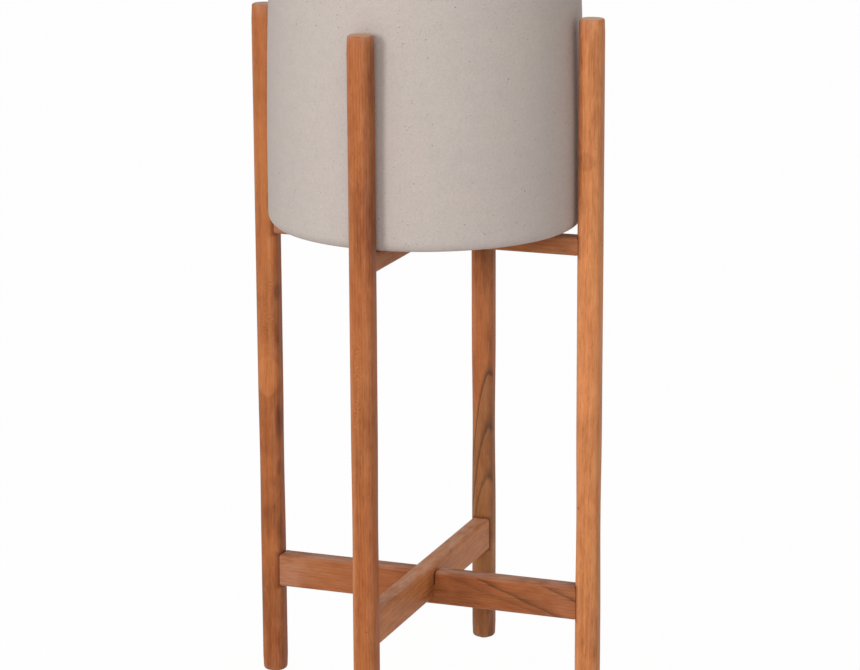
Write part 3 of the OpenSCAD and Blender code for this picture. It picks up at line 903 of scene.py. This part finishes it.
for over, under in zip(FRONT_BACK, LEFT_RIGHT):
    lap_z = (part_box(over)[0].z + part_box(under)[1].z) / 2
    for name in (over, under):
        low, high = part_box(name)
        mid_z = (high.z + low.z) / 2
        rail(name, name == over, (high.z - low.z) / 2, mid_z, lap_z - mid_z,
             wood(name, **TEAK[name]))


# Build: pot

pot_low, pot_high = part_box("pot")
POT_R, POT_H = 183 * MM, pot_high.z - pot_low.z
# The pot draws in by DRAW from the height BELLY to its rim
DRAW, BELLY = 6 * MM, 50 * MM
WALL, FLOOR = 10 * MM, 16 * MM
# Radii of the rim's two edges, and of the rounding round the base outside and inside
RIM, BASE, CORNER = 3 * MM, 14 * MM, 14 * MM
# The drain hole's radius, and the radius and height of the step round it in the floor
DRAIN_R, STEP_R, STEP_Z = 11 * MM, 16 * MM, 13 * MM
# Rubbed places: the base's edge, outside a radius and below a height, and near the rim's top
BASE_RUBBED_R, BASE_RUBBED_Z, RIM_RUBBED = 155 * MM, 6 * MM, 4 * MM
# Counts of straight pieces round the pot, up its side and in the arcs of its profile
POT_AROUND, POT_STEPS = 240, 40
BASE_STEPS, RIM_STEPS, CORNER_STEPS = 14, 6, 8


def pot_radius(z):
    return POT_R - DRAW * (max(z - BELLY, 0) / (POT_H - BELLY)) ** 2


def arc(cx, cz, r, start, stop, steps):
    """Points round part of a circle, from one angle to the other."""
    found = []
    for i in range(steps + 1):
        a = math.radians(start + (stop - start) * i / steps)
        found.append((cx + r * math.cos(a), cz + r * math.sin(a)))
    return found


def lathe(profile, around, uneven):
    """Points and faces of a turned piece, whose profile is a closed line of (radius, height). Its
    surface lies up to uneven inside the profile."""
    verts, rings = [], []
    for r, z in profile:
        rings.append(list(range(len(verts), len(verts) + around)))
        for i in range(around):
            a = 2 * math.pi * i / around
            n = noise.noise(Vector((math.cos(a) * 1.6, math.sin(a) * 1.6, z * 7)))
            here = r * (1 - uneven * (0.5 + 0.5 * n) / r)
            verts.append((here * math.cos(a), here * math.sin(a), z))
    faces = []
    for a, b in zip(rings, rings[1:] + rings[:1]):
        faces += joined(a, b)
    return verts, faces


# The profile runs from the drain hole outwards, up the outside, over the rim and down the inside
rim_z = POT_H - RIM
rim_out = pot_radius(rim_z)
rim_in = rim_out - WALL
heights = [BELLY + (rim_z - BELLY) * i / POT_STEPS for i in range(POT_STEPS + 1)]
profile = [(r, 0.0) for r in (DRAIN_R, 0.012, 0.03, 0.06, 0.09, 0.12, 0.15)]
profile += arc(POT_R - BASE, BASE, BASE, -90, 0, BASE_STEPS)
profile += [(POT_R, z) for z in (0.02, 0.03, 0.04)]
profile += [(pot_radius(z), z) for z in heights]
profile += arc(rim_out - RIM, rim_z, RIM, 10, 90, RIM_STEPS)
profile += arc(rim_in + RIM, rim_z, RIM, 90, 180, RIM_STEPS)
profile += [(pot_radius(z) - WALL, z) for z in reversed(heights)]
profile += [(POT_R - WALL, 0.04)]
profile += arc(POT_R - WALL - CORNER, FLOOR + CORNER, CORNER, 0, -90, CORNER_STEPS)
profile += [(r, FLOOR) for r in (0.12, 0.08, 0.04, STEP_R)]
profile += [(STEP_R, STEP_Z), (DRAIN_R, STEP_Z)]
pot_wear = []
for r, z in profile:
    base_near = 0.5 if z < BASE_RUBBED_Z and r > BASE_RUBBED_R else 0.0
    pot_wear += [max(0.0, 1 - abs(z - POT_H) / RIM_RUBBED, base_near)] * POT_AROUND
verts, faces = lathe(profile, POT_AROUND, POT_UNEVEN)
make_piece("pot_clay", verts, faces, clay(), "pot", "pot",
           Matrix.Translation((0, 0, pot_low.z)), {"wear_and_sheen": pot_wear}, sharp=35)


# Materials of the frame's own nodes

dowel_wood, screw_steel, glide_plastic, plug_rubber = plain_wood(), steel(), nylon(), rubber()
given = {
    "upper_dowels": dowel_wood, "lower_dowels": dowel_wood,
    "upper_lap_screw": screw_steel, "lower_lap_screw": screw_steel, "glide_nails": screw_steel,
    "glide_front": glide_plastic, "glide_right": glide_plastic,
    "glide_back": glide_plastic, "glide_left": glide_plastic,
    "drain_plug": plug_rubber,
}
for name, material in given.items():
    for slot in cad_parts[name].material_slots:
        slot.material = material


# Stage

def surround(name, colour, level):
    """Pale material that the camera, mirrors and glass see as white, with the object's shadow.
    level is the share of that white which glows."""
    g = material_graph(name)
    diffuse = g.add("BsdfDiffuse")
    g.put(diffuse.inputs["Color"], colour)
    seen = g.add("BsdfDiffuse")
    g.put(seen.inputs["Color"], (1 - level,) * 3)
    glow = g.add("Emission")
    g.put(glow.inputs["Color"], (1, 1, 1))
    g.put(glow.inputs["Strength"], level)
    white = g.add("AddShader")
    g.put(white.inputs[0], seen.outputs[0])
    g.put(white.inputs[1], glow.outputs[0])
    ray = g.add("LightPath").outputs
    direct = g.math("MAXIMUM", ray["Is Camera Ray"], ray["Is Glossy Ray"])
    direct = g.math("MAXIMUM", direct, ray["Is Transmission Ray"])
    return g.output(g.choose(direct, diffuse.outputs[0], white.outputs[0]))


def background(g, colour, strength):
    made = g.add("Background")
    g.put(made.inputs["Color"], colour)
    g.put(made.inputs["Strength"], strength)
    return made.outputs[0]


GROUND_HALF = 30
ground = bpy.data.meshes.new("ground")
ground.from_pydata([(sx * GROUND_HALF, sy * GROUND_HALF, 0)
                    for sx, sy in ((-1, -1), (1, -1), (1, 1), (-1, 1))], [], [(0, 1, 2, 3)])
ground.materials.append(surround("ground_white", (0.82, 0.81, 0.80), 0.975))
ground_object = bpy.data.objects.new("ground", ground)
bpy.context.scene.collection.objects.link(ground_object)

# The world lights the object softly, and is white where it is seen
world = bpy.data.worlds.new("studio")
bpy.context.scene.world = world
sky = Graph(world)
ray = sky.add("LightPath").outputs
seen = sky.math("MAXIMUM", ray["Is Camera Ray"], ray["Is Transmission Ray"])
soft, white = background(sky, (1.0, 0.96, 0.92), 0.50), background(sky, (1, 1, 1), 1.0)
sky.output(sky.choose(seen, soft, white), "OutputWorld")


MIDDLE = Vector((0, 0, 0.45))


def lamp(name, bearing, rise, distance, width, height, power):
    """A soft box at a bearing from -Y towards +X, that looks at the middle of the object."""
    data = bpy.data.lights.new(name, "AREA")
    data.shape = "RECTANGLE"
    data.size, data.size_y, data.energy = width, height, power
    made = bpy.data.objects.new(name, data)
    a, e = math.radians(bearing), math.radians(rise)
    away = Vector((math.sin(a) * math.cos(e), -math.cos(a) * math.cos(e), math.sin(e)))
    made.location = MIDDLE + away * distance
    made.rotation_euler = (-away).to_track_quat("-Z", "Y").to_euler()
    bpy.context.scene.collection.objects.link(made)


lamp("key", -13, 17, 4.0, 0.8, 1.6, 52)
lamp("fill", 15, 14, 4.0, 1.6, 1.6, 20)

# The camera was fitted to the photo: turn round Z, tilt up from straight down, roll, then place
CAMERA_TURN, CAMERA_TILT, CAMERA_ROLL = 20.578, 76.187, -0.311
CAMERA_PLACE = (1.2445, -3.3147, 1.3147)
camera = bpy.data.cameras.new("camera")
camera.lens = 130.36
camera.sensor_width = 36
camera.shift_x = 0.0038
camera.shift_y = -0.0058
camera_object = bpy.data.objects.new("camera", camera)
turn = Matrix.Identity(4)
for angle, axis in ((CAMERA_TURN, "Z"), (CAMERA_TILT, "X"), (CAMERA_ROLL, "Z")):
    turn = turn @ Matrix.Rotation(math.radians(angle), 4, axis)
camera_object.matrix_world = Matrix.Translation(CAMERA_PLACE) @ turn
bpy.context.scene.collection.objects.link(camera_object)
bpy.context.scene.camera = camera_object
bpy.context.scene.view_settings.view_transform = "Standard"
